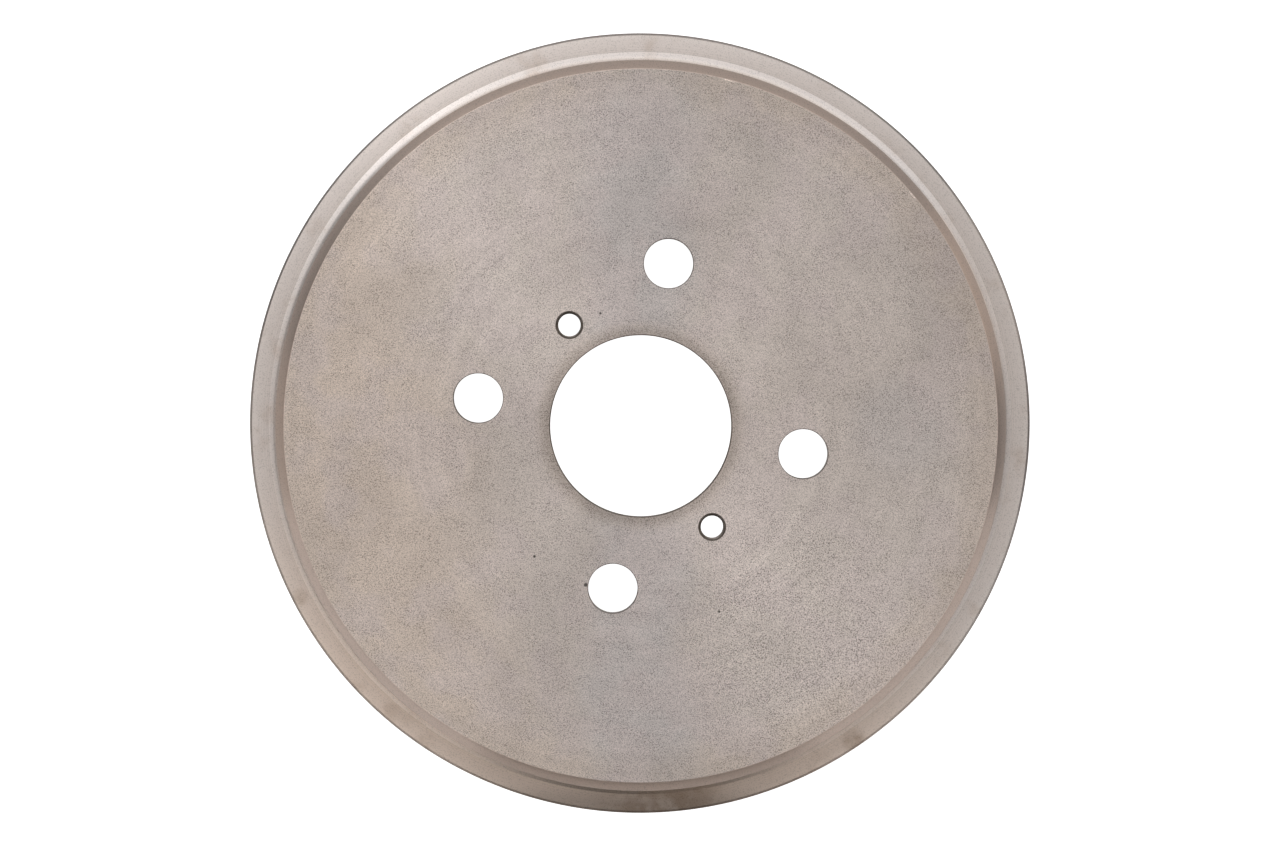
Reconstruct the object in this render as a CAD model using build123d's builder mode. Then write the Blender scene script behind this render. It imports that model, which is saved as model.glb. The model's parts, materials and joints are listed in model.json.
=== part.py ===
"""Brake drum for a small car's rear axle: one grey-iron casting, turned, drilled and tapped.

The drum's axis is Z and its wheel side faces +Z. The origin is on that axis, on the plane
where the web seats on the hub, so the open rim lies below it. Sizes are in millimetres.
"""

from build123d import *
from math import radians, tan
import os

# Web: the disc that is held between the wheel and the hub
web_thickness = 7.0
seat_diameter = 144.0
seat_relief = 0.8
face_chamfer = 2.7

# Holes in the web
hub_bore_diameter = 55.0
lug_circle_diameter = 100.0
lug_hole_count = 4
lug_hole_diameter = 15.0
jack_circle_diameter = 75.0
jack_hole_count = 2
jack_tap_diameter = 6.8
jack_mouth_diameter = 8.5
jack_angle_from_lug = 135.0
bore_edge_break = 0.3
bore_lead_in = 1.0

# Wall: the friction surface inside, turned plain outside
friction_diameter = 203.2
friction_width = 38.0
wall_thickness = 9.4
corner_radius = 7.0
corner_land = 0.5
corner_step = 0.8
mouth_chamfer_width = 1.6
mouth_chamfer_depth = 2.5

# Flange round the open rim
flange_reach = 10.6
flange_thickness = 8.5
flange_edge_break = 0.7

# Root of the flange: a shallow taper that runs out on the flange, and a fillet between it and the wall
flange_root_reach = 4.7
flange_root_slope = 20.0  # degrees
flange_root_radius = 5.5

# Groove in the rim, which clears the turned edge of the backing plate
groove_lip_width = 4.5
groove_width = 5.0
groove_depth = 6.0
groove_floor_bevel = 1.0

# Radii that follow from the sizes above
bore_radius = hub_bore_diameter / 2
jack_tap_radius = jack_tap_diameter / 2
jack_mouth_radius = jack_mouth_diameter / 2
seat_radius = seat_diameter / 2
friction_radius = friction_diameter / 2
cast_wall_radius = friction_radius - corner_step
mouth_radius = friction_radius + mouth_chamfer_width
body_radius = friction_radius + wall_thickness
flange_radius = body_radius + flange_reach
root_run_out_radius = body_radius + flange_root_reach
groove_outer_radius = flange_radius - groove_lip_width
groove_inner_radius = groove_outer_radius - groove_width

# Heights that follow from the sizes above, down from the wheel face to the open rim
face_height = web_thickness
floor_height = seat_relief
cast_wall_foot = floor_height - corner_radius - corner_land
friction_top = cast_wall_foot - corner_step
friction_bottom = friction_top - friction_width
rim_height = friction_bottom - mouth_chamfer_depth
flange_top = rim_height + flange_thickness
root_height = flange_top + flange_root_reach * tan(radians(flange_root_slope))
groove_floor = rim_height + groove_depth


def corner(sketch, radius, height):
    """Return the corner of a half section that lies nearest to a radius and a height."""
    return sketch.vertices().sort_by_distance((radius, height))[0]


with BuildPart() as drum:
    # Half section of the turned casting: radius across, height up
    with BuildSketch(Plane.XZ) as section:
        with BuildLine():
            Polyline(
                (bore_radius, face_height),
                (body_radius, face_height),
                (body_radius, root_height),
                (root_run_out_radius, flange_top),
                (flange_radius, flange_top),
                (flange_radius, rim_height),
                (groove_outer_radius, rim_height),
                (groove_outer_radius, groove_floor),
                (groove_inner_radius, groove_floor),
                (groove_inner_radius, rim_height),
                (mouth_radius, rim_height),
                (friction_radius, friction_bottom),
                (friction_radius, friction_top),
                (cast_wall_radius, cast_wall_foot),
                (cast_wall_radius, floor_height),
                (seat_radius + seat_relief, floor_height),
                (seat_radius, 0),
                (bore_radius, 0),
                close=True,
            )
        make_face()

        # Outside: the wheel face's turned corner, the flange's root and its two edges
        chamfer(corner(section, body_radius, face_height), length=face_chamfer)
        fillet(corner(section, body_radius, root_height), radius=flange_root_radius)
        for edge_height in (flange_top, rim_height):
            chamfer(corner(section, flange_radius, edge_height), length=flange_edge_break)

        # Inside: the groove's floor, the cast corner under the web, and the bore's edge break
        # on the wheel side and longer lead-in on the hub side
        for groove_side in (groove_outer_radius, groove_inner_radius):
            chamfer(corner(section, groove_side, groove_floor), length=groove_floor_bevel)
        fillet(corner(section, cast_wall_radius, floor_height), radius=corner_radius)
        chamfer(corner(section, bore_radius, face_height), length=bore_edge_break)
        chamfer(corner(section, bore_radius, 0), length=bore_lead_in)
    revolve(axis=Axis.Z)

    # Plain holes that pass over the wheel studs
    with PolarLocations(lug_circle_diameter / 2, lug_hole_count):
        Hole(lug_hole_diameter / 2)

    # Tapped holes half-way between studs, chamfered at both ends, for the screws that push the drum off
    with PolarLocations(jack_circle_diameter / 2, jack_hole_count, start_angle=jack_angle_from_lug):
        Hole(jack_tap_radius)
    jack_rims = drum.edges(Select.LAST).filter_by(GeomType.CIRCLE)
    chamfer(jack_rims, length=jack_mouth_radius - jack_tap_radius)

drum.part.label = "drum"

os.makedirs("parts", exist_ok=True)
export_step(drum.part, "parts/drum.step")
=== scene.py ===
"""A rear brake drum of grey iron: turned faces, ground friction surface, drilled and tapped holes.

The drum stands on its open rim with its axis upright and its wheel side up. Sizes are in metres.
"""

import json
import logging
import math
from collections.abc import Iterable, Mapping, Sequence
from dataclasses import dataclass
from enum import IntEnum
from typing import Any

import bmesh
import bpy
from mathutils import Matrix, Vector


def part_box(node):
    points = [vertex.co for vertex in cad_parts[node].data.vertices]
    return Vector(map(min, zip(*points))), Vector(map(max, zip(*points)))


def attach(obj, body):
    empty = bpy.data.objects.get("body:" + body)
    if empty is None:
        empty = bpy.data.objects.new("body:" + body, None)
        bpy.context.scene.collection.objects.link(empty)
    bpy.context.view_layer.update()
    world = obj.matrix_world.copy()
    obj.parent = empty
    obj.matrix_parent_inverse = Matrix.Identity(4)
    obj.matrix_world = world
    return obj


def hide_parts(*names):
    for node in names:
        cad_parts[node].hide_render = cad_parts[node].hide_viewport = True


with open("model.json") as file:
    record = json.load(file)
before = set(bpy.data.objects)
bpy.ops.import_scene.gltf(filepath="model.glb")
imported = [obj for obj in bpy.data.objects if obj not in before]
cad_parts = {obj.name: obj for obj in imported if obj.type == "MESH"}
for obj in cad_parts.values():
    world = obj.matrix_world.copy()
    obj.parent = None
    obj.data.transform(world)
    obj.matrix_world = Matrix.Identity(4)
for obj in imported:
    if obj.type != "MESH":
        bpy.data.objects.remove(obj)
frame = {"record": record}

logging.basicConfig(level=logging.INFO, format="%(name)s: %(message)s")
log = logging.getLogger("brake_drum")

MM = 0.001
FULL_TURN = math.tau
UP = Vector((0.0, 0.0, 1.0))
ORIGIN = Vector((0.0, 0.0, 0.0))
PIECE = "brake_drum"
NODE = "drum"
BODY = "root"

# The camera's upright, turned from +Y about the drum's axis
DIAL_TURN = math.radians(9.74)

# Share of a full turn that lays the stretched highlight across the turned grooves
ACROSS_THE_GROOVES = 0.25

# Numbers of the Mix node's colour sockets, whose names it also gives to other sockets
MIX_FIRST = 6
MIX_SECOND = 7
MIX_RESULT = 2

# Share of a round mark's radius over which the mark is full
SPOT_CORE = 0.4

# Vertices nearer to one another than WELD are merged, and nearer to a height than LEVEL lie on it
WELD = 0.001 * MM
LEVEL = 0.01 * MM

Number = float | int
Colour = tuple[float, float, float, float]
Span = tuple[float, float]


def on_circle(radius: float, angle: float, height: float = 0.0) -> Vector:
    """Place a point on a circle about the drum's axis.

    Args:
        radius: The circle's radius.
        angle: The point's angle from +X in radians, counter-clockwise seen from the wheel side.
        height: The point's height.

    Returns:
        The point.
    """
    return Vector((radius * math.cos(angle), radius * math.sin(angle), height))


def heading(clock: float) -> Vector:
    """Return a clock angle's level direction, in degrees clockwise from the camera's upright."""
    return on_circle(1.0, math.radians(90.0 - clock) + DIAL_TURN)


# --- Shader maths ---------------------------------------------------------------------------


class Field:
    """A value that varies over a surface: a node's socket that takes part in arithmetic."""

    def __init__(self, graph: "Graph", socket: bpy.types.NodeSocket) -> None:
        """Wrap one output socket of a graph."""
        self.graph = graph
        self.socket = socket

    def __add__(self, other: "Field | Number") -> "Field":
        """Return self + other."""
        return self.graph.maths("ADD", self, other)

    __radd__ = __add__

    def __sub__(self, other: "Field | Number") -> "Field":
        """Return self - other."""
        return self.graph.maths("SUBTRACT", self, other)

    def __rsub__(self, other: "Field | Number") -> "Field":
        """Return other - self."""
        return self.graph.maths("SUBTRACT", other, self)

    def __mul__(self, other: "Field | Number") -> "Field":
        """Return self * other."""
        return self.graph.maths("MULTIPLY", self, other)

    __rmul__ = __mul__


class Graph:
    """The node tree of one finish, of the floor or of the studio's surroundings."""

    def __init__(self, tree: bpy.types.NodeTree) -> None:
        """Take over a node tree and empty it."""
        self.tree = tree
        tree.nodes.clear()

    def node(
        self,
        kind: str,
        settings: Mapping[str, Any] | None = None,
        inputs: Mapping[str | int, Any] | None = None,
    ) -> bpy.types.Node:
        """Add a node.

        Args:
            kind: The node's type, as bpy names it.
            settings: The node's own properties, which are set first.
            inputs: A value or a Field for each socket, by the socket's name or number.

        Returns:
            The new node.
        """
        made = self.tree.nodes.new(kind)
        for name, value in (settings or {}).items():
            setattr(made, name, value)
        for name, value in (inputs or {}).items():
            if isinstance(value, Field):
                self.tree.links.new(value.socket, made.inputs[name])
            else:
                made.inputs[name].default_value = value
        return made

    def read(
        self,
        output: str | int,
        kind: str,
        settings: Mapping[str, Any] | None = None,
        inputs: Mapping[str | int, Any] | None = None,
    ) -> Field:
        """Add a node and take one of its outputs.

        Args:
            output: The output's name or number.
            kind: The node's type, as bpy names it.
            settings: The node's own properties.
            inputs: A value or a Field for each socket.

        Returns:
            The output.
        """
        return Field(self, self.node(kind, settings, inputs).outputs[output])

    def maths(self, operation: str, *values: Field | Number) -> Field:
        """Add a Math node for an operation and return its value."""
        return self.read(0, "ShaderNodeMath", {"operation": operation}, dict(enumerate(values)))

    def vector_maths(
        self, operation: str, *values: Field | Sequence[float], output: str = "Vector"
    ) -> Field:
        """Add a Vector Math node for an operation and return one of its outputs."""
        inputs = dict(enumerate(values))
        return self.read(output, "ShaderNodeVectorMath", {"operation": operation}, inputs)

    def along(self, place: Field, direction: Vector) -> Field:
        """Return how far a place lies along a level direction."""
        return self.vector_maths("DOT_PRODUCT", place, direction, output="Value")

    def distance(self, place: Field, point: Vector) -> Field:
        """Return the distance from a place to a fixed point."""
        return self.vector_maths("DISTANCE", place, point, output="Value")

    def level(self, place: Field) -> Field:
        """Return a place or a direction with its height taken away."""
        return self.vector_maths("MULTIPLY", place, (1.0, 1.0, 0.0))

    def radius(self, place: Field) -> Field:
        """Return the distance from a place to the drum's axis."""
        return self.vector_maths("LENGTH", self.level(place), output="Value")

    def height(self, place: Field) -> Field:
        """Return a place's height, or how steeply a direction rises."""
        return self.read("Z", "ShaderNodeSeparateXYZ", None, {"Vector": place})

    def ramp(self, value: Field, start: float, stop: float) -> Field:
        """Return a smooth step of a value.

        Args:
            value: The value that the step follows.
            start: The value at which the step is 0.
            stop: The value at which the step is 1, which may be the smaller.

        Returns:
            The step.
        """
        inputs = {"Value": value, "From Min": start, "From Max": stop}
        settings = {"interpolation_type": "SMOOTHSTEP"}
        return self.read("Result", "ShaderNodeMapRange", settings, inputs)

    def beside(self, value: Field, edge: float, span: Span) -> Field:
        """Return a smooth step over a span that is measured from an edge."""
        return self.ramp(value, edge + span[0], edge + span[1])

    def mix(
        self, factor: Field | Number, first: Field | Colour, second: Field | Colour
    ) -> Field:
        """Return the colour that lies between two colours by a factor.

        Args:
            factor: How far the result lies from the first colour to the second, from 0 to 1.
            first: The first colour.
            second: The second colour.

        Returns:
            The mixed colour.
        """
        inputs = {"Factor": factor, MIX_FIRST: first, MIX_SECOND: second}
        return self.read(MIX_RESULT, "ShaderNodeMix", {"data_type": "RGBA"}, inputs)

    def tint(self, colour: Field | Colour, strength: Field | Number) -> Field:
        """Return a colour made brighter or darker by a factor.

        Args:
            colour: The colour.
            strength: The factor.

        Returns:
            The changed colour.
        """
        source = colour if isinstance(colour, Field) else colour[:3]
        inputs = {0: source, "Scale": strength}
        return self.read("Vector", "ShaderNodeVectorMath", {"operation": "SCALE"}, inputs)

    def lines(
        self, value: Field, pitch: float, detail: float = 2.0, roughness: float = 0.6
    ) -> Field:
        """Return noise that varies along one value only, as turned lines of a given pitch.

        Args:
            value: The value that the lines lie across.
            pitch: The usual distance between lines.
            detail: The number of finer layers.
            roughness: The strength of the finer layers.

        Returns:
            The noise, from 0 to 1.
        """
        inputs = {"W": value, "Scale": 1.0 / pitch, "Detail": detail, "Roughness": roughness}
        return self.read("Fac", "ShaderNodeTexNoise", {"noise_dimensions": "1D"}, inputs)

    def dots(self, place: Field, spacing: float, radius: float, share: float) -> Field:
        """Return a mask of small round dots.

        Args:
            place: The position on the object.
            spacing: The usual distance between neighbouring cells.
            radius: The dots' radius.
            share: The share of the cells that hold a dot.

        Returns:
            1 in a dot and 0 outside it.
        """
        inputs = {"Vector": place, "Scale": 1.0 / spacing}
        cells = self.node("ShaderNodeTexVoronoi", {"feature": "F1"}, inputs)
        chosen = Field(self, cells.outputs["Color"])
        chance = self.read("Red", "ShaderNodeSeparateColor", None, {"Color": chosen})
        reach = radius / spacing
        inside = self.ramp(Field(self, cells.outputs["Distance"]), reach, SPOT_CORE * reach)
        return inside * self.maths("LESS_THAN", chance, share)


# --- Patterns -------------------------------------------------------------------------------


@dataclass(frozen=True)
class Cloud:
    """A cloudy pattern: its grain size, and how many finer layers it has and how strong."""

    grain: float
    detail: float
    roughness: float

    def at(self, graph: Graph, place: Field) -> Field:
        """Return the pattern's value at a place, from 0 to 1."""
        return graph.read("Fac", "ShaderNodeTexNoise", {"noise_dimensions": "3D"}, {
            "Vector": place,
            "Scale": 1.0 / self.grain,
            "Detail": self.detail,
            "Roughness": self.roughness,
        })


@dataclass(frozen=True)
class Spot:
    """A round mark: its clock angle in degrees, its distance from the axis and its radius."""

    clock: float
    reach: float
    radius: float

    def mask(
        self, graph: Graph, place: Field, height: float, core: float = SPOT_CORE
    ) -> Field:
        """Return where the mark lies.

        Args:
            graph: The finish's graph.
            place: The position on the object.
            height: The height of the mark's middle.
            core: The share of the mark's radius over which it is full.

        Returns:
            1 in the middle of the mark and 0 outside it.
        """
        away = graph.distance(place, heading(self.clock) * self.reach + UP * height)
        return graph.ramp(away, self.radius, core * self.radius)


@dataclass(frozen=True)
class Side:
    """One side of the drum: its clock angle in degrees, and where it starts and is full."""

    clock: float
    start: float
    stop: float

    def mask(self, graph: Graph, place: Field) -> Field:
        """Return 1 on this side of the drum and 0 on the other."""
        return self.cut(graph, graph.along(place, heading(self.clock)))

    def wandering(self, graph: Graph, place: Field, drift: Field) -> Field:
        """Return the mask with its edge moved to and fro by a drift."""
        return self.cut(graph, graph.along(place, heading(self.clock)) + drift)

    def cut(self, graph: Graph, reach: Field) -> Field:
        """Return the mask of a distance along the side's direction."""
        return graph.ramp(reach, self.start, self.stop)


# --- Finishes -------------------------------------------------------------------------------


@dataclass(frozen=True)
class Layout:
    """Radii and heights of the casting that its finishes follow."""

    face_height: float
    bore_edge: float
    face_edge: float
    corner_foot: float
    wall: float
    root_end: float
    flange_edge: float
    flange_top: float


@dataclass(frozen=True)
class Surface:
    """What every iron finish starts from: the values at a point, and the casting's layout."""

    place: Field
    radius: Field
    height: Field
    layout: Layout


@dataclass(frozen=True)
class Dressing:
    """What a finish gives a surface: colour, roughness, and relief from 0 to 1 with its depth."""

    colour: Field
    roughness: Field | Number
    relief: Field
    depth: float


@dataclass(frozen=True)
class IronFinish:
    """Grey iron, as a base for the drum's five finishes."""

    name: str
    tone: Colour
    roughness: float
    anisotropy: float

    def material(self, layout: Layout) -> bpy.types.Material:
        """Make the finish's material.

        Args:
            layout: The radii and heights that the finish follows.

        Returns:
            The material.
        """
        made = bpy.data.materials.new(self.name)
        made.use_nodes = True
        graph = Graph(made.node_tree)
        place = graph.read("Object", "ShaderNodeTexCoord")
        surface = Surface(place, graph.radius(place), graph.height(place), layout)
        dressing = self.dress(graph, surface)
        normal = graph.read("Normal", "ShaderNodeBump", None, {
            "Strength": 1.0,
            "Distance": dressing.depth,
            "Height": dressing.relief,
        })
        shader = graph.read("BSDF", "ShaderNodeBsdfPrincipled", None, {
            "Base Color": dressing.colour,
            "Metallic": 1.0,
            "Roughness": dressing.roughness,
            "Anisotropic": self.anisotropy,
            "Anisotropic Rotation": ACROSS_THE_GROOVES,
            "Normal": normal,
        })
        graph.node("ShaderNodeOutputMaterial", None, {"Surface": shader})
        return made

    def dress(self, graph: Graph, surface: Surface) -> Dressing:
        """Work out how the finish dresses a surface; each finish has its own way."""
        raise NotImplementedError


@dataclass(frozen=True)
class FacedIron(IronFinish):
    """A flat turned face: dark graphite speckle, faint warm and cool clouds that are partly
    painted reflections, painted shade, faint lines.

    The spans of the rim and the nicks are measured from the face's edge, and the halo's span
    is measured from the bore's edge.
    """

    # Painted reflections of warm and cool light: the tone turns tan on one side and along the rim,
    # and cooler across the middle; the violet blotches are the iron's own
    warm: Colour = (0.582, 0.488, 0.421, 1.0)
    cool: Colour = (0.542, 0.488, 0.463, 1.0)
    violet: Colour = (0.555, 0.476, 0.45, 1.0)
    clouds: Cloud = Cloud(24.0 * MM, 2.0, 0.5)
    warm_side: Side = Side(257.0, 32.0 * MM, 80.0 * MM)
    warm_rim: Span = (-16.3 * MM, -1.3 * MM)
    rim_warmth: float = 0.7
    rim_loss_of_cool: float = 0.6
    cool_column: Span = (22.0 * MM, 6.6 * MM)
    cool_patch: Spot = Spot(90.0, 79.0 * MM, 20.0 * MM)
    patch_depth: float = 0.6
    blotches: Cloud = Cloud(14.0 * MM, 1.0, 0.5)
    blotch_span: Span = (0.42, 0.62)
    blotch_depth: float = 0.5

    # Speckle and the bright grain between it, both stronger in clusters and in a dense patch
    grain: Cloud = Cloud(0.33 * MM, 1.2, 0.7)
    clusters: Cloud = Cloud(5.0 * MM, 1.5, 0.5)
    cluster_span: Span = (0.35, 0.65)
    cluster_depth: float = 0.04
    dense_patch: Spot = Spot(143.0, 80.0 * MM, 46.0 * MM)
    dense_core: float = 0.3
    speckle_span: Span = (0.5, 0.68)
    speckle: float = 0.36
    cluster_speckle: float = 0.16
    dense_speckle: float = 0.2
    bright_span: Span = (0.5, 0.32)
    bright: float = 0.18
    cluster_bright: float = 0.06
    dense_bright: float = 0.1
    speckle_roughness: float = 0.08

    # Small pits left where graphite has fallen out
    pit_spacing: float = 1.6 * MM
    pit_radius: float = 0.3 * MM
    pit_share: float = 0.2
    pit_depth: float = 0.35

    # Turning lines, broken rings and soft mottling
    line_pitch: float = 0.35 * MM
    line_depth: float = 0.06
    line_relief: float = 0.3
    ring_pitch: float = 4.0 * MM
    ring_gaps: Cloud = Cloud(30.0 * MM, 1.0, 0.5)
    ring_gap_span: Span = (0.3, 0.6)
    ring_depth: float = 0.18
    mottling: Cloud = Cloud(8.0 * MM, 2.0, 0.6)
    mottle_depth: float = 0.165
    even_tone: float = 0.87
    relief_depth: float = 0.004 * MM

    # Painted shade: darker round the bore, along the rim and on two sides, and browner round the
    # bore
    halo: Span = (5.5 * MM, 0.0)
    halo_depth: float = 0.28
    halo_warmth: float = 0.6
    painted_shade_rim: Span = (-12.3 * MM, -1.3 * MM)
    painted_shade_rim_depth: float = 0.04
    painted_shade_edge: Side = Side(45.0, 55.0 * MM, 103.0 * MM)
    painted_shade_edge_depth: float = 0.07
    painted_shade_side: Side = Side(112.0, 10.0 * MM, 95.0 * MM)
    painted_shade_side_depth: float = 0.08

    # Marks: dark pores, and nicks at the face's edge with a painted glint
    pores: tuple[Spot, ...] = (
        Spot(340.3, 36.3 * MM, 0.5 * MM),
        Spot(219.2, 51.0 * MM, 0.6 * MM),
        Spot(157.1, 61.1 * MM, 0.55 * MM),
        Spot(199.1, 51.0 * MM, 0.8 * MM),
    )
    pore_depth: float = 0.8
    nicks: tuple[Spot, ...] = (
        Spot(14.2, 108.1 * MM, 2.2 * MM),
        Spot(49.6, 108.0 * MM, 1.8 * MM),
    )
    nick_span: Span = (-0.6 * MM, -0.3 * MM)
    nick_glint: float = 0.6

    def stain_and_painted_light(self, graph: Graph, surface: Surface) -> Field:
        """Return the face's colour before its speckle, lines and marks: violet blotches, and
        painted reflections of warm and cool light.

        Args:
            graph: The finish's graph.
            surface: The values at a point, and the casting's layout.

        Returns:
            The colour.
        """
        place = surface.place
        wander = self.clouds.grain * (self.clouds.at(graph, place) - 0.5)
        # Painted reflections: warm along the rim and on one side, cool across the middle and in a
        # patch
        rim = graph.beside(surface.radius, surface.layout.face_edge, self.warm_rim)
        side = self.warm_side.wandering(graph, place, wander)
        warm = 1.0 - (1.0 - side) * (1.0 - self.rim_warmth * rim)
        across = graph.maths("ABSOLUTE", graph.along(place, heading(90.0)) + wander)
        column = graph.ramp(across, *self.cool_column) * (1.0 - self.rim_loss_of_cool * rim)
        patch = self.cool_patch.mask(graph, place, surface.layout.face_height)
        cool = column + self.patch_depth * patch
        blotch = graph.ramp(self.blotches.at(graph, place), *self.blotch_span)
        base = graph.mix(cool, graph.mix(warm, self.tone, self.warm), self.cool)
        return graph.mix(self.blotch_depth * blotch, base, self.violet)

    def marked(self, graph: Graph, surface: Surface, tone: Field) -> Field:
        """Return a tone with the face's pores, and its nicks with their painted glints, put in.

        Args:
            graph: The finish's graph.
            surface: The values at a point, and the casting's layout.
            tone: The face's tone without its marks.

        Returns:
            The marked tone.
        """
        height = surface.layout.face_height
        chipped = graph.beside(surface.radius, surface.layout.face_edge, self.nick_span)
        for pore in self.pores:
            tone = tone * (1.0 - self.pore_depth * pore.mask(graph, surface.place, height))
        # Each nick gets a painted glint along the face's edge
        for nick in self.nicks:
            mask = nick.mask(graph, surface.place, height)
            tone = tone * (1.0 + self.nick_glint * chipped * mask)
        return tone

    def painted_shade(self, graph: Graph, surface: Surface, halo: Field) -> Field:
        """Return how the face's tone falls off where shade is painted on it.

        Args:
            graph: The finish's graph.
            surface: The values at a point, and the casting's layout.
            halo: Where the painted shade round the bore lies.

        Returns:
            A factor for the tone, 1 where the face is bright.
        """
        rim = graph.beside(surface.radius, surface.layout.face_edge, self.painted_shade_rim)
        edge = self.painted_shade_edge.mask(graph, surface.place)
        side = self.painted_shade_side.mask(graph, surface.place)
        tone = (1.0 - self.halo_depth * halo) * (1.0 - self.painted_shade_rim_depth * rim)
        tone = tone * (1.0 - self.painted_shade_edge_depth * edge)
        return tone * (1.0 - self.painted_shade_side_depth * side)

    def dress(self, graph: Graph, surface: Surface) -> Dressing:
        """Work out the face's colour, roughness and relief.

        Args:
            graph: The finish's graph.
            surface: The values at a point, and the casting's layout.

        Returns:
            The face's dressing.
        """
        place, layout = surface.place, surface.layout
        cluster = graph.ramp(self.clusters.at(graph, place), *self.cluster_span)
        dense = self.dense_patch.mask(graph, place, layout.face_height, self.dense_core)
        grain = self.grain.at(graph, place)
        speckle = graph.ramp(grain, *self.speckle_span) * (
            self.speckle + self.cluster_speckle * cluster + self.dense_speckle * dense
        )
        bright = graph.ramp(grain, *self.bright_span) * (
            self.bright + self.cluster_bright * cluster + self.dense_bright * dense
        )
        pits = graph.dots(place, self.pit_spacing, self.pit_radius, self.pit_share)
        lines = graph.lines(surface.radius, self.line_pitch)
        gaps = graph.ramp(self.ring_gaps.at(graph, place), *self.ring_gap_span)
        rings = graph.lines(surface.radius, self.ring_pitch) * gaps
        mottle = self.mottling.at(graph, place)
        halo = graph.beside(surface.radius, layout.bore_edge, self.halo)
        tone = (1.0 - speckle + bright) * (1.0 - self.pit_depth * pits)
        tone = tone * (1.0 + self.line_depth * (lines - 0.5))
        tone = tone * (1.0 - self.cluster_depth * (cluster - 0.5))
        tone = tone * (self.even_tone + self.mottle_depth * mottle + self.ring_depth * rings)
        # Painted shade round the bore, along the rim and on two sides; then the pores, and the
        # nicks with their painted glints
        tone = self.marked(graph, surface, tone * self.painted_shade(graph, surface, halo))
        # The colour with its painted reflections, browner in the painted shade round the bore
        base = graph.mix(self.halo_warmth * halo, self.stain_and_painted_light(graph, surface), self.warm)
        return Dressing(
            colour=graph.tint(base, tone),
            roughness=self.roughness + self.speckle_roughness * speckle,
            relief=grain - pits + self.line_relief * lines,
            depth=self.relief_depth,
        )


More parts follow.
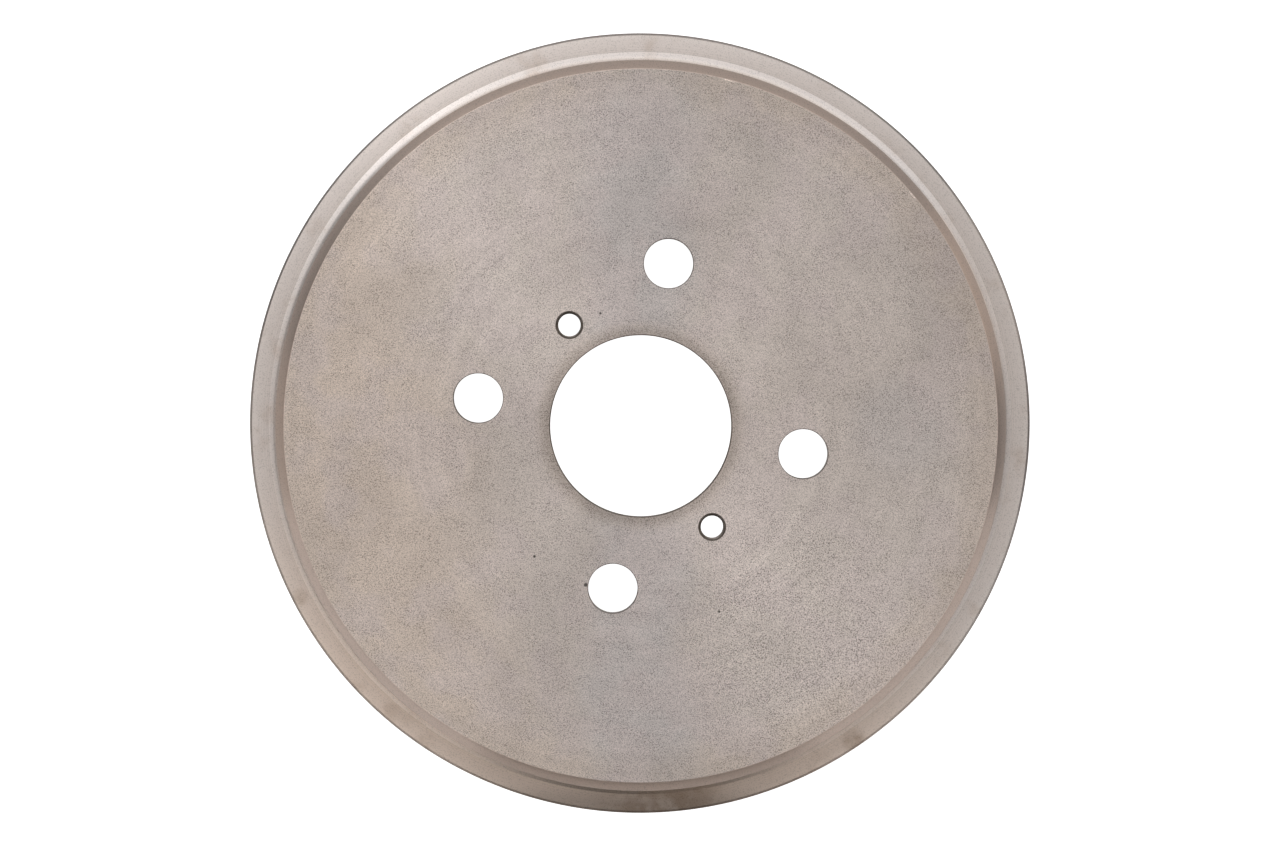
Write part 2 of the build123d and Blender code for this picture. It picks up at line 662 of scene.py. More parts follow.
@dataclass(frozen=True)
class TurnedIron(IronFinish):
    """The outside, turned plain: fine lines round the drum, a thin brown film in places, painted
    highlights at the flange's root, and painted shade at the flange's foot and edge.
    """

    # Colours of the film, which also colours the painted shade at the foot, of the brown side and
    # of the turned corner
    film_and_painted_shade: Colour = (0.4, 0.3, 0.23, 1.0)
    tan: Colour = (0.625, 0.515, 0.44, 1.0)
    corner_tan: Colour = (0.62, 0.5, 0.435, 1.0)
    brown_side: Side = Side(192.0, 25.0 * MM, 100.0 * MM)

    # Spans over which these start or stop: the turned corner, from its foot; the flange's top,
    # from its height; the root, from the wall and to its end; its fillet, from the wall; and
    # the flange's broken edge, from its radius
    corner_start: Span = (-0.3 * MM, 0.1 * MM)
    top_start: Span = (-0.3 * MM, -0.1 * MM)
    root_start: Span = (0.0, 0.3 * MM)
    root_stop: Span = (0.1 * MM, -0.1 * MM)
    fillet_stop: Span = (3.9 * MM, 2.7 * MM)
    edge_start: Span = (-0.1 * MM, 0.1 * MM)
    # Painted highlights on the root and its fillet, painted shade on the flange's broken edge, and
    # the root's smoother polish
    root_glint: float = 0.3
    fillet_glint: float = 0.32
    edge_depth: float = 0.22
    root_polish: float = 0.05

    # Film: thin clouds of it everywhere, and thicker in stains on the flange; the widest patch, at
    # the foot, is painted shade
    clouds: Cloud = Cloud(12.0 * MM, 3.0, 0.6)
    film_span: Span = (0.55, 0.75)
    film_depth: float = 0.3
    film_roughness: float = 0.1
    stains_and_painted_shade: tuple[Spot, ...] = (
        Spot(146.0, 119.0 * MM, 5.0 * MM),
        Spot(214.0, 119.5 * MM, 4.0 * MM),
        Spot(228.0, 118.5 * MM, 5.0 * MM),
        Spot(243.0, 119.0 * MM, 3.5 * MM),
        # Painted shade at the flange's foot
        Spot(176.0, 119.0 * MM, 27.0 * MM),
    )
    stain_and_painted_shade_core: float = 0.2
    stain_and_painted_shade_span: Span = (0.35, 0.55)
    stain_and_painted_shade_depth: float = 0.75

    # Tone: fine lines, the coarser feed of the tool, speckle, and painted shade at the foot
    line_pitch: float = 0.3 * MM
    line_depth: float = 0.2
    feed_pitch: float = 0.9 * MM
    feed_depth: float = 0.14
    even_tone: float = 0.86
    grain: Cloud = Cloud(0.4 * MM, 1.5, 0.7)
    speckle_span: Span = (0.5, 0.72)
    speckle_depth: float = 0.25
    painted_shade_foot: Side = Side(181.0, 112.5 * MM, 119.0 * MM)
    painted_shade_foot_depth: float = 0.22
    relief_depth: float = 0.003 * MM

    def film_and_painted_shade_share(self, graph: Graph, surface: Surface) -> Field:
        """Return how thick the brown film is, with the painted shade at the foot.

        Args:
            graph: The finish's graph.
            surface: The values at a point, and the casting's layout.

        Returns:
            The film's share of the colour, 0 where there is none.
        """
        place, height = surface.place, surface.layout.flange_top
        clouds = self.clouds.at(graph, place)
        film_and_painted_shade = self.film_depth * graph.ramp(clouds, *self.film_span)
        broken = self.stain_and_painted_shade_depth * graph.ramp(clouds, *self.stain_and_painted_shade_span)
        for stain_and_painted_light in self.stains_and_painted_shade:
            film_and_painted_shade = film_and_painted_shade + broken * stain_and_painted_light.mask(graph, place, height, self.stain_and_painted_shade_core)
        return film_and_painted_shade

    def dress(self, graph: Graph, surface: Surface) -> Dressing:
        """Work out the turned outside's colour, roughness and relief.

        Args:
            graph: The finish's graph.
            surface: The values at a point, and the casting's layout.

        Returns:
            The outside's dressing.
        """
        place, radius, height = surface.place, surface.radius, surface.height
        layout = surface.layout
        film_and_painted_shade = self.film_and_painted_shade_share(graph, surface)
        brown = self.brown_side.mask(graph, place)
        corner = graph.beside(height, layout.corner_foot, self.corner_start)
        base = graph.mix(film_and_painted_shade, graph.mix(brown, self.tone, self.tan), self.film_and_painted_shade)
        base = graph.mix(corner, base, self.corner_tan)
        root = (
            graph.beside(height, layout.flange_top, self.top_start)
            * graph.beside(radius, layout.wall, self.root_start)
            * graph.beside(radius, layout.root_end, self.root_stop)
        )
        fillet = root * graph.beside(radius, layout.wall, self.fillet_stop)
        edge = graph.beside(radius, layout.flange_edge, self.edge_start)
        lines = graph.lines(radius + height, self.line_pitch)
        feed = graph.lines(radius + height, self.feed_pitch)
        speckle = self.speckle_depth * graph.ramp(self.grain.at(graph, place), *self.speckle_span)
        tone = self.even_tone + self.line_depth * lines + self.feed_depth * feed
        # Speckle, and painted shade on the flange's broken edge
        tone = tone * (1.0 - speckle) * (1.0 - self.edge_depth * edge)
        # Painted highlights on the root and its fillet
        tone = tone * (1.0 + self.root_glint * root + self.fillet_glint * fillet)
        # Painted shade on the flange at the foot
        tone = tone * (1.0 - self.painted_shade_foot_depth * self.painted_shade_foot.mask(graph, place))
        return Dressing(
            colour=graph.tint(base, tone),
            roughness=self.roughness + self.film_roughness * film_and_painted_shade - self.root_polish * root,
            relief=lines,
            depth=self.relief_depth,
        )


@dataclass(frozen=True)
class GroundIron(IronFinish):
    """The friction surface, ground bright in fine lines round the drum."""

    fine_pitch: float = 0.12 * MM
    fine_depth: float = 0.16
    fine_roughness: float = 0.06
    broad_pitch: float = 2.5 * MM
    broad_depth: float = 0.12
    even_tone: float = 0.86
    relief_depth: float = 0.003 * MM

    def dress(self, graph: Graph, surface: Surface) -> Dressing:
        """Work out the friction surface's colour, roughness and relief.

        Args:
            graph: The finish's graph.
            surface: The values at a point, and the casting's layout.

        Returns:
            The friction surface's dressing.
        """
        fine = graph.lines(surface.height, self.fine_pitch)
        broad = graph.lines(surface.height, self.broad_pitch)
        tone = self.even_tone + self.fine_depth * fine + self.broad_depth * broad
        return Dressing(
            colour=graph.tint(self.tone, tone),
            roughness=self.roughness + self.fine_roughness * fine,
            relief=fine,
            depth=self.relief_depth,
        )


@dataclass(frozen=True)
class CastSkin(IronFinish):
    """The skin left as cast under the web: dull, dark and grainy from the sand."""

    sand: Cloud = Cloud(0.8 * MM, 4.0, 0.65)
    sand_depth: float = 0.35
    clouds: Cloud = Cloud(18.0 * MM, 3.0, 0.5)
    cloud_depth: float = 0.3
    even_tone: float = 0.7
    relief_depth: float = 0.25 * MM

    def dress(self, graph: Graph, surface: Surface) -> Dressing:
        """Work out the cast skin's colour, roughness and relief.

        Args:
            graph: The finish's graph.
            surface: The values at a point, and the casting's layout.

        Returns:
            The cast skin's dressing.
        """
        sand = self.sand.at(graph, surface.place)
        clouds = self.clouds.at(graph, surface.place)
        tone = self.even_tone + self.sand_depth * sand + self.cloud_depth * clouds
        return Dressing(graph.tint(self.tone, tone), self.roughness, sand, self.relief_depth)


@dataclass(frozen=True)
class DrilledIron(IronFinish):
    """Walls of the drilled and tapped holes, darker than the turned faces."""

    line_pitch: float = 0.2 * MM
    line_depth: float = 0.25
    clouds: Cloud = Cloud(3.0 * MM, 2.0, 0.6)
    cloud_depth: float = 0.25
    even_tone: float = 0.75
    relief_depth: float = 0.01 * MM

    def dress(self, graph: Graph, surface: Surface) -> Dressing:
        """Work out the hole walls' colour, roughness and relief.

        Args:
            graph: The finish's graph.
            surface: The values at a point, and the casting's layout.

        Returns:
            The hole walls' dressing.
        """
        lines = graph.lines(surface.height, self.line_pitch)
        clouds = self.clouds.at(graph, surface.place)
        tone = self.even_tone + self.line_depth * lines + self.cloud_depth * clouds
        return Dressing(graph.tint(self.tone, tone), self.roughness, lines, self.relief_depth)


class Region(IntEnum):
    """The parts of the casting that are finished alike; each value is its material's number."""

    FACED = 0
    TURNED = 1
    GROUND = 2
    CAST = 3
    DRILLED = 4


# Each finish: its material's name, tone, roughness and anisotropy
FINISHES: dict[Region, IronFinish] = {
    Region.FACED: FacedIron("faced_iron", (0.557, 0.488, 0.445, 1.0), 0.44, 0.8),
    Region.TURNED: TurnedIron("turned_iron", (0.6, 0.537, 0.5, 1.0), 0.36, 0.8),
    Region.GROUND: GroundIron("ground_iron", (0.55, 0.53, 0.51, 1.0), 0.34, 0.8),
    Region.CAST: CastSkin("cast_skin", (0.2, 0.18, 0.165, 1.0), 0.75, 0.0),
    Region.DRILLED: DrilledIron("drilled_iron", (0.3, 0.26, 0.23, 1.0), 0.45, 0.0),
}


# --- The casting ----------------------------------------------------------------------------


@dataclass(frozen=True)
class Corner:
    """A corner of a section: its place, and how much of each side its cut or curve takes."""

    radius: float
    height: float
    cut: float = 0.0
    segments: int = 1


def section_wire(bm: bmesh.types.BMesh, corners: Iterable[Corner], centre: Vector) -> None:
    """Draw one open section and cut its corners.

    Args:
        bm: The mesh that takes the wire.
        corners: The section's corners in order.
        centre: The point on the section's axis at height 0.
    """
    listed = list(corners)
    verts = [
        bm.verts.new(centre + Vector((corner.radius, 0.0, corner.height))) for corner in listed
    ]
    for before, after in zip(verts, verts[1:]):
        bm.edges.new((before, after))
    for vert, corner in zip(verts, listed):
        if corner.cut:
            bmesh.ops.bevel(
                bm, geom=[vert], offset=corner.cut, offset_type="OFFSET",
                segments=corner.segments, profile=0.5, affect="VERTICES", material=-1,
            )


def spun(corners: Iterable[Corner], centre: Vector, steps: int) -> bmesh.types.BMesh:
    """Turn an open section about an upright axis.

    Args:
        corners: The section's corners in order.
        centre: The point on the axis at height 0.
        steps: The number of steps in the full turn.

    Returns:
        A new mesh of the turned surface.
    """
    bm = bmesh.new()
    section_wire(bm, corners, centre)
    bmesh.ops.spin(
        bm, geom=bm.verts[:] + bm.edges[:], cent=centre, axis=UP, dvec=ORIGIN,
        angle=FULL_TURN, space=Matrix.Identity(4), steps=steps, use_merge=True,
        use_normal_flip=False, use_duplicate=False,
    )
    return bm


@dataclass
class PlainHole:
    """A drilled hole through the web, with its edges broken at both ends."""

    centre: Vector
    radius: float
    top: float
    edge_break: float = 0.2 * MM
    steps: int = 72

    def build(self) -> bmesh.types.BMesh:
        """Turn the hole's wall.

        Returns:
            A new mesh of the wall.
        """
        mouth = self.radius + self.edge_break
        corners = (
            Corner(mouth, self.top),
            Corner(self.radius, self.top - self.edge_break),
            Corner(self.radius, self.edge_break),
            Corner(mouth, 0.0),
        )
        return spun(corners, self.centre, self.steps)


@dataclass
class TappedHole:
    """A tapped hole through the web, countersunk at both ends."""

    centre: Vector
    tap_radius: float
    top: float
    thread_radius: float = 4.0 * MM
    mouth_radius: float = 4.25 * MM
    pitch: float = 1.25 * MM
    flank_angle: float = math.radians(30.0)
    root_share: float = 0.125
    spare_turns: int = 2
    cuts: int = 2
    steps: int = 72

    def build(self) -> bmesh.types.BMesh:
        """Screw the thread up through the web, trim it and countersink it.

        Returns:
            A new mesh of the wall.
        """
        bm = bmesh.new()
        section_wire(bm, self.thread(), self.centre)
        bmesh.ops.subdivide_edges(bm, edges=bm.edges[:], cuts=self.cuts)
        bmesh.ops.spin(
            bm, geom=bm.verts[:] + bm.edges[:], cent=self.centre, axis=UP,
            dvec=UP * (self.pitch / self.steps), angle=FULL_TURN, space=Matrix.Identity(4),
            steps=self.steps, use_merge=False, use_normal_flip=False, use_duplicate=False,
        )
        bmesh.ops.remove_doubles(bm, verts=bm.verts[:], dist=WELD)
        for height, outward in ((self.top, UP), (0.0, -UP)):
            bmesh.ops.bisect_plane(
                bm, geom=bm.verts[:] + bm.edges[:] + bm.faces[:], dist=0.5 * WELD,
                plane_co=UP * height, plane_no=outward, use_snap_center=True,
                clear_outer=True, clear_inner=False,
            )
        self.countersink(bm)
        return bm

    def thread(self) -> list[Corner]:
        """Draw the thread form over the whole web and a little past it.

        Returns:
            The corners in order, from below the web to above it.
        """
        flank = (self.thread_radius - self.tap_radius) * math.tan(self.flank_angle)
        root = self.pitch * self.root_share
        crest = self.pitch - 2.0 * flank - root
        corners = []
        for turn in range(math.ceil(self.top / self.pitch) + self.spare_turns):
            # The first turn starts one and a half pitches below the web
            foot = (turn - 1) * self.pitch - 0.5 * self.pitch
            corners += [
                Corner(self.tap_radius, foot),
                Corner(self.tap_radius, foot + crest),
                Corner(self.thread_radius, foot + crest + flank),
                Corner(self.thread_radius, foot + crest + flank + root),
            ]
        corners.append(Corner(self.tap_radius, foot + self.pitch))
        return corners

    def countersink(self, bm: bmesh.types.BMesh) -> None:
        """Open both of the hole's mouths to 45-degree cones.

        Args:
            bm: The mesh of the hole's wall.
        """
        for vert in bm.verts:
            spoke = Vector((vert.co.x - self.centre.x, vert.co.y - self.centre.y, 0.0))
            cone = self.mouth_radius - min(vert.co.z, self.top - vert.co.z)
            if cone > spoke.length:
                vert.co += spoke.normalized() * (cone - spoke.length)


@dataclass
class DrumCasting:
    """The whole drum, a single casting: its turned section, its holes and its finishes."""

    flange_radius: float
    face_height: float
    rim_height: float
    bore_radius: float
    lug_circle: float
    lug_count: int
    lug_radius: float
    jack_circle: float
    jack_count: int
    jack_radius: float
    friction_radius: float
    friction_top: float
    friction_bottom: float
    jack_angle: float = math.radians(135.0)
    face_chamfer: float = 2.7 * MM
    seat_radius: float = 72.0 * MM
    seat_relief: float = 0.8 * MM
    bore_break: float = 0.3 * MM
    bore_lead_in: float = 1.0 * MM
    flange_reach: float = 10.6 * MM
    flange_thickness: float = 8.5 * MM
    flange_break: float = 0.7 * MM
    root_reach: float = 4.7 * MM
    root_slope: float = math.radians(20.0)
    root_radius: float = 5.5 * MM
    groove_lip: float = 4.5 * MM
    groove_width: float = 5.0 * MM
    groove_depth: float = 6.0 * MM
    groove_bevel: float = 1.0 * MM
    corner_radius: float = 7.0 * MM
    corner_step: float = 0.8 * MM
    mouth_chamfer: float = 1.6 * MM
    edge_break: float = 0.12 * MM

    # Width of the flat strips beside a curve, which keep its shading off the flat beyond
    guard: float = 0.3 * MM

    # Radius inside which the web's flat faces are filled in round the holes' mouths
    drilled_zone: float = 62.0 * MM

    # Fineness: steps of the full turn, and segments of each kind of cut corner
    steps: int = 360
    break_segments: int = 2
    root_segments: int = 20
    groove_segments: int = 6
    corner_segments: int = 14
    sharp_angle: float = math.radians(14.0)
    slack: float = 0.02 * MM

    @classmethod
    def from_frame(cls) -> "DrumCasting":
        """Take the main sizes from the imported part's box and mounts.

        Returns:
            The casting.
        """
        low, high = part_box(NODE)
        mounts = {mount["name"]: mount for mount in frame["record"]["mounts"]}
        bore = mounts["hub_bore"]["dims"]
        lugs = mounts["stud_holes"]["dims"]
        jacks = mounts["jacking_holes"]["dims"]
        friction = mounts["friction_surface"]
        middle = friction["pos_m"][2]
        half_width = friction["dims"]["length_mm"] / 2 * MM
        return cls(
            flange_radius=high.x,
            face_height=high.z,
            rim_height=low.z,
            bore_radius=bore["r_mm"] * MM,
            lug_circle=lugs["pcd_mm"] / 2 * MM,
            lug_count=lugs["count"],
            lug_radius=lugs["hole_r_mm"] * MM,
            jack_circle=jacks["pcd_mm"] / 2 * MM,
            jack_count=jacks["count"],
            jack_radius=jacks["hole_r_mm"] * MM,
            friction_radius=friction["dims"]["r_mm"] * MM,
            friction_top=middle + half_width,
            friction_bottom=middle - half_width,
        )

    @property
    def body_radius(self) -> float:
        """Radius of the drum's outer wall."""
        return self.flange_radius - self.flange_reach

    @property
    def flange_top(self) -> float:
        """Height of the flange's upper face."""
        return self.rim_height + self.flange_thickness

    def layout(self) -> Layout:
        """Return the radii and heights that the finishes follow."""
        return Layout(
            face_height=self.face_height,
            bore_edge=self.bore_radius + self.bore_break,
            face_edge=self.body_radius - self.face_chamfer,
            corner_foot=self.face_height - self.face_chamfer,
            wall=self.body_radius,
            root_end=self.body_radius + self.root_reach,
            flange_edge=self.flange_radius - self.flange_break,
            flange_top=self.flange_top,
        )

    def broken(self, radius: float, height: float) -> Corner:
        """Return a corner whose edge is finely broken."""
        return Corner(radius, height, self.edge_break, self.break_segments)

    def outside(self) -> list[Corner]:
        """Draw the section from the wheel face down the outside to the groove in the rim.

        Returns:
            The corners in order.
        """
        body = self.body_radius
        face_edge = body - self.face_chamfer
        flange_edge = self.flange_radius - self.flange_break
        lip = self.flange_radius - self.groove_lip
        inner = lip - self.groove_width
        floor = self.rim_height + self.groove_depth
        root_height = self.flange_top + self.root_reach * math.tan(self.root_slope)
        root_cut = self.root_radius * math.tan(math.radians(45.0) - self.root_slope / 2)
        return [
            Corner(self.drilled_zone, self.face_height),
            Corner(face_edge - self.guard, self.face_height),
            self.broken(face_edge, self.face_height),
            self.broken(body, self.face_height - self.face_chamfer),
            Corner(body, root_height + root_cut + self.guard),
            Corner(body, root_height, root_cut, self.root_segments),
            Corner(body + self.root_reach, self.flange_top),
            self.broken(flange_edge, self.flange_top),
            self.broken(self.flange_radius, self.flange_top - self.flange_break),
            self.broken(self.flange_radius, self.rim_height + self.flange_break),
            self.broken(flange_edge, self.rim_height),
            self.broken(lip, self.rim_height),
            Corner(lip, floor, self.groove_bevel, self.groove_segments),
            Corner(inner, floor, self.groove_bevel, self.groove_segments),
            self.broken(inner, self.rim_height),
        ]

    def inside(self) -> list[Corner]:
        """Draw the section from the rim up the friction surface and in to the hub seat.

        Returns:
            The corners in order.
        """
        cast_wall = self.friction_radius - self.corner_step
        return [
            self.broken(self.friction_radius + self.mouth_chamfer, self.rim_height),
            self.broken(self.friction_radius, self.friction_bottom),
            Corner(self.friction_radius, self.friction_top),
            Corner(cast_wall, self.friction_top + self.corner_step),
            Corner(cast_wall, self.seat_relief, self.corner_radius, self.corner_segments),
            Corner(cast_wall - self.corner_radius - self.guard, self.seat_relief),
            Corner(self.seat_radius + self.seat_relief, self.seat_relief),
            Corner(self.seat_radius, 0.0),
            Corner(self.drilled_zone, 0.0),
        ]

    def bore(self) -> list[Corner]:
        """Return the corners of the hub bore, from the wheel face to the hub seat."""
        return [
            Corner(self.bore_radius + self.bore_break, self.face_height),
            Corner(self.bore_radius, self.face_height - self.bore_break),
            Corner(self.bore_radius, self.bore_lead_in),
            Corner(self.bore_radius + self.bore_lead_in, 0.0),
        ]

    def holes(self) -> list[PlainHole | TappedHole]:
        """Place the stud holes and the tapped jacking holes.

        Returns:
            The stud holes, then the jacking holes.
        """
        lugs = [
            on_circle(self.lug_circle, FULL_TURN * number / self.lug_count)
            for number in range(self.lug_count)
        ]
        jacks = [
            on_circle(self.jack_circle, self.jack_angle + FULL_TURN * number / self.jack_count)
            for number in range(self.jack_count)
        ]
        plain = [PlainHole(centre, self.lug_radius, self.face_height) for centre in lugs]
        tapped = [TappedHole(centre, self.jack_radius, self.face_height) for centre in jacks]
        return plain + tapped

    def region(self, centre: Vector) -> Region:
        """Find the region of the turned section that a face belongs to.

        Args:
            centre: The face's centre.

        Returns:
            The region.
        """
        radius = math.hypot(centre.x, centre.y)
        if radius > self.body_radius - self.face_chamfer - self.edge_break:
            return Region.TURNED
        if centre.z > self.face_height - self.slack:
            return Region.FACED
        if centre.z < self.friction_bottom:
            return Region.TURNED
        ground_radius = self.friction_radius - self.slack - self.edge_break
        if radius > ground_radius and centre.z < self.friction_top:
            return Region.GROUND
        if radius < self.seat_radius and centre.z < self.slack:
            return Region.FACED
        return Region.CAST

    def pieces(self) -> list[bmesh.types.BMesh]:
        """Make the casting's surfaces, each face with its finish.

        Returns:
            The turned surface, then the walls of the bore and the holes.
        """
        turned = spun(self.outside() + self.inside(), ORIGIN, self.steps)
        for face in turned.faces:
            face.material_index = self.region(face.calc_center_median())
        walls = [spun(self.bore(), ORIGIN, self.steps)] + [hole.build() for hole in self.holes()]
        for wall in walls:
            for face in wall.faces:
                face.material_index = Region.DRILLED
        return [turned, *walls]

    def fill(self, bm: bmesh.types.BMesh, height: float) -> None:
        """Close the flat web between the hole mouths at one height.

        Args:
            bm: The drum's mesh.
            height: The height of the web's flat face.
        """
        rims = [
            edge for edge in bm.edges
            if edge.is_boundary and all(abs(vert.co.z - height) < LEVEL for vert in edge.verts)
        ]
        made = bmesh.ops.triangle_fill(
            bm, use_beauty=True, use_dissolve=False, edges=rims, normal=UP
        )
        for face in made["geom"]:
            if isinstance(face, bmesh.types.BMFace):
                face.material_index = Region.FACED

    def shade(self, bm: bmesh.types.BMesh) -> None:
        """Shade the faces smooth, and keep every turned edge sharp.

        Args:
            bm: The drum's mesh.
        """
        for face in bm.faces:
            face.smooth = True
        for edge in bm.edges:
            if edge.is_manifold and edge.calc_face_angle() > self.sharp_angle:
                edge.smooth = False

    def build(self) -> bpy.types.Object:
        """Join the surfaces into one closed piece and finish it.

        Returns:
            The drum's object.
        """
        bm = bmesh.new()
        for piece in self.pieces():
            scratch = bpy.data.meshes.new("scratch")
            piece.to_mesh(scratch)
            piece.free()
            bm.from_mesh(scratch)
            bpy.data.meshes.remove(scratch)
        bmesh.ops.remove_doubles(bm, verts=bm.verts[:], dist=WELD)
        for height in (self.face_height, 0.0):
            self.fill(bm, height)
        bmesh.ops.recalc_face_normals(bm, faces=bm.faces[:])
        self.shade(bm)
        open_edges = sum(1 for edge in bm.edges if not edge.is_manifold)
        log.info("drum mesh: %d faces, %d open edges", len(bm.faces), open_edges)
        mesh = bpy.data.meshes.new(PIECE)
        bm.to_mesh(mesh)
        bm.free()
        for region in Region:
            mesh.materials.append(FINISHES[region].material(self.layout()))
        made = bpy.data.objects.new(PIECE, mesh)
        bpy.context.scene.collection.objects.link(made)
        return made


# --- The studio -----------------------------------------------------------------------------


NEUTRAL: Colour = (1.0, 1.0, 1.0, 1.0)
COOL: Colour = (0.95, 1.0, 1.05, 1.0)
WARM: Colour = (1.1, 1.0, 0.9, 1.0)

# In degrees: the elevation straight overhead, and half of the way round the studio
OVERHEAD = 90.0
ALL_ROUND = 180.0


@dataclass(frozen=True)
class Softbox:
    """A soft light at one side of the studio, with all its angles in degrees.

    The clock runs clockwise from the camera's upright, and low and high are the elevations of
    the light's lower and upper edges. Blend is the width over which its edges fade.
    """

    clock: float
    half_width: float
    low: float
    high: float
    strength: float
    tint: Colour = NEUTRAL
    blend: float = 9.0


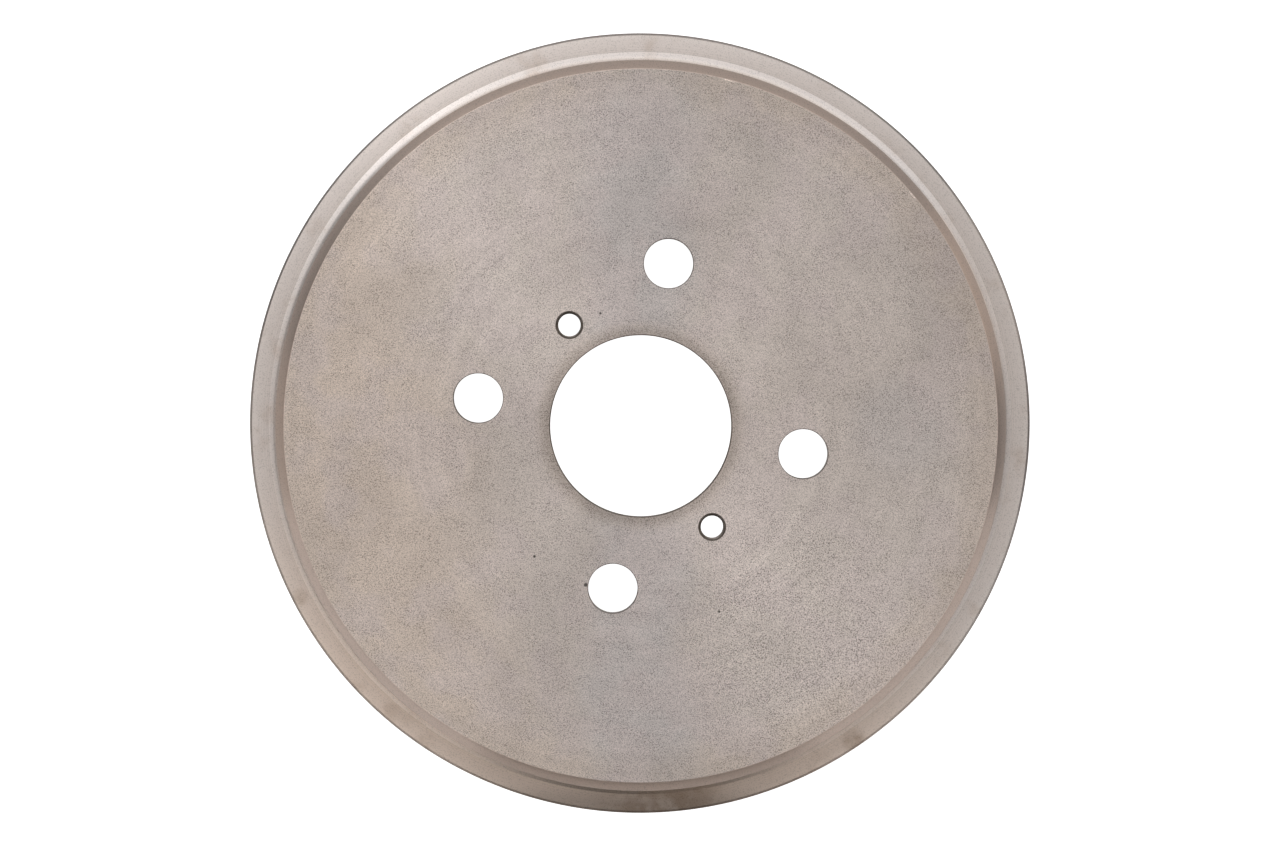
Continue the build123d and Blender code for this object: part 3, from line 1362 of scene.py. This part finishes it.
@dataclass
class Studio:
    """The pale floor, the soft light round the drum and the camera that looks down on it."""

    # The floor, just below the rim: its glow fades outwards from the lit part, and a soft
    # light in it under the drum shows the inside to a camera below
    floor_height: float = -48.05 * MM
    floor_radius: float = 1.6
    floor_segments: int = 96
    floor_tone: Colour = (0.8, 0.8, 0.8, 1.0)
    floor_roughness: float = 0.9
    glow_span: Span = (0.561, 0.33)
    far_glow: float = 0.4
    under_span: Span = (122.0 * MM, 121.0 * MM)
    under_glow: float = 0.45

    # The camera: its place and aim along its own right, its upright and the drum's axis
    camera_place: tuple[float, float, float] = (-8.2 * MM, 27.5 * MM, 1.657)
    camera_aim: tuple[float, float, float] = (-0.23 * MM, 0.31 * MM, 7.0 * MM)
    lens: float = 153.1
    sensor_width: float = 36.0
    clip_end: float = 10.0

    # The light
    backdrop: Colour = (0.93, 0.93, 0.93, 1.0)
    surround: float = 0.045
    softboxes: tuple[Softbox, ...] = (
        # Overhead and high banks, which light the wheel face
        Softbox(0.0, 180.0, 76.0, 90.0, 0.63),
        Softbox(267.0, 66.0, 50.0, 76.0, 1.42, blend=5.0),
        Softbox(109.0, 50.0, 50.0, 76.0, 1.18, blend=5.0),
        Softbox(5.0, 50.0, 62.0, 78.0, 1.85),
        Softbox(0.0, 16.0, 60.0, 78.0, 0.5, COOL),
        Softbox(60.0, 24.0, 38.0, 56.0, 0.2),
        Softbox(135.0, 24.0, 38.0, 60.0, 0.1),
        Softbox(218.0, 20.0, 48.0, 62.0, 0.2),
        # Banks half-way up, for the bright ring at the flange's root
        Softbox(5.0, 52.0, 28.0, 50.0, 1.1, COOL),
        Softbox(322.0, 22.0, 38.0, 60.0, 0.3, COOL),
        Softbox(300.0, 16.0, 38.0, 50.0, 0.6, COOL),
        # Low strips near the floor, for the turned corner
        Softbox(128.0, 25.0, -8.0, 6.0, 2.6, blend=3.0),
        Softbox(231.0, 25.0, -8.0, 6.0, 2.75, blend=3.0),
        Softbox(180.0, 28.0, -8.0, 2.0, 1.8, WARM),
        Softbox(0.0, 40.0, 10.0, 28.0, 0.6, WARM),
        Softbox(69.0, 13.0, 0.0, 24.0, 0.75, WARM, blend=5.0),
        Softbox(267.0, 12.0, -4.0, 12.0, 0.75, WARM, blend=5.0),
    )

    def floor(self) -> None:
        """Make the floor, pale from above and clear from below."""
        bm = bmesh.new()
        bmesh.ops.create_circle(
            bm, cap_ends=True, radius=self.floor_radius, segments=self.floor_segments,
            matrix=Matrix.Translation(UP * self.floor_height),
        )
        mesh = bpy.data.meshes.new("studio_floor")
        bm.to_mesh(mesh)
        bm.free()
        mesh.materials.append(self.floor_material())
        made = bpy.data.objects.new("studio_floor", mesh)
        bpy.context.scene.collection.objects.link(made)

    def floor_material(self) -> bpy.types.Material:
        """Make the floor's material, which glows softly to the camera and under the drum.

        Returns:
            The material.
        """
        material = bpy.data.materials.new("pale_floor")
        material.use_nodes = True
        graph = Graph(material.node_tree)
        radius = graph.radius(graph.read("Object", "ShaderNodeTexCoord"))
        seen = graph.read("Is Camera Ray", "ShaderNodeLightPath")
        lit = self.far_glow + (1.0 - self.far_glow) * graph.ramp(radius, *self.glow_span)
        under = self.under_glow * graph.ramp(radius, *self.under_span)
        matt = graph.read("BSDF", "ShaderNodeBsdfPrincipled", None, {
            "Base Color": self.floor_tone,
            "Roughness": self.floor_roughness,
            "Emission Color": graph.tint(NEUTRAL, seen * lit + (1.0 - seen) * under),
            "Emission Strength": 1.0,
        })
        below = graph.read("Backfacing", "ShaderNodeNewGeometry")
        clear = graph.read("BSDF", "ShaderNodeBsdfTransparent")
        both = graph.read(0, "ShaderNodeMixShader", None, {0: below, 1: matt, 2: clear})
        graph.node("ShaderNodeOutputMaterial", None, {"Surface": both})
        return material

    def light(self) -> None:
        """Set the soft light: an even surround with softboxes, and a plain pale backdrop."""
        world = bpy.data.worlds.new("studio")
        bpy.context.scene.world = world
        world.use_nodes = True
        graph = Graph(world.node_tree)
        sight = graph.read("Generated", "ShaderNodeTexCoord")
        level = graph.vector_maths("NORMALIZE", graph.level(sight))
        rise = graph.height(sight)
        lamp = graph.read(0, "ShaderNodeBackground", None, {"Strength": self.surround})
        for box in self.softboxes:
            strength = box.strength * self.window(graph, box, level, rise)
            inputs = {"Color": box.tint, "Strength": strength}
            beam = graph.read(0, "ShaderNodeBackground", None, inputs)
            lamp = graph.read(0, "ShaderNodeAddShader", None, {0: lamp, 1: beam})
        backdrop = graph.read(0, "ShaderNodeBackground", None, {"Color": self.backdrop})
        seen = graph.read("Is Camera Ray", "ShaderNodeLightPath")
        both = graph.read(0, "ShaderNodeMixShader", None, {0: seen, 1: lamp, 2: backdrop})
        graph.node("ShaderNodeOutputWorld", None, {"Surface": both})

    def window(self, graph: Graph, box: Softbox, level: Field, rise: Field) -> Field:
        """Return where a softbox stands round the studio.

        Args:
            graph: The world's graph.
            box: The softbox.
            level: The level direction of sight.
            rise: The sine of the sight's elevation.

        Returns:
            1 inside the softbox and 0 outside it.
        """
        soft = math.radians(box.blend) / 2
        low = math.radians(box.low)
        high = math.radians(box.high)
        inside = graph.ramp(rise, math.sin(low - soft), math.sin(low + soft))
        if box.high < OVERHEAD:
            inside = inside * graph.ramp(rise, math.sin(high + soft), math.sin(high - soft))
        if box.half_width < ALL_ROUND:
            edge = math.cos(math.radians(box.half_width + box.blend))
            core = math.cos(math.radians(max(box.half_width - box.blend, 0.0)))
            inside = inside * graph.ramp(graph.along(level, heading(box.clock)), edge, core)
        return inside

    def camera(self) -> None:
        """Make the camera, high above the wheel face and turned to its upright."""
        data = bpy.data.cameras.new("camera")
        data.lens = self.lens
        data.sensor_width = self.sensor_width
        data.clip_end = self.clip_end
        made = bpy.data.objects.new("camera", data)
        bpy.context.scene.collection.objects.link(made)
        upright = heading(0.0)
        dial = Matrix((heading(90.0), upright, UP)).transposed()
        place = dial @ Vector(self.camera_place)
        back = (place - dial @ Vector(self.camera_aim)).normalized()
        side = upright.cross(back).normalized()
        turn = Matrix((side, back.cross(side), back)).transposed().to_4x4()
        made.matrix_world = Matrix.Translation(place) @ turn
        bpy.context.scene.camera = made


def main() -> None:
    """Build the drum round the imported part, and set the studio."""
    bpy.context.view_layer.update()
    drum = DrumCasting.from_frame().build()
    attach(drum, BODY)
    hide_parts(NODE)
    log.info("built %s", drum.name)
    studio = Studio()
    studio.floor()
    studio.light()
    studio.camera()
    bpy.context.scene.view_settings.view_transform = "Standard"


if __name__ == "__main__":
    main()
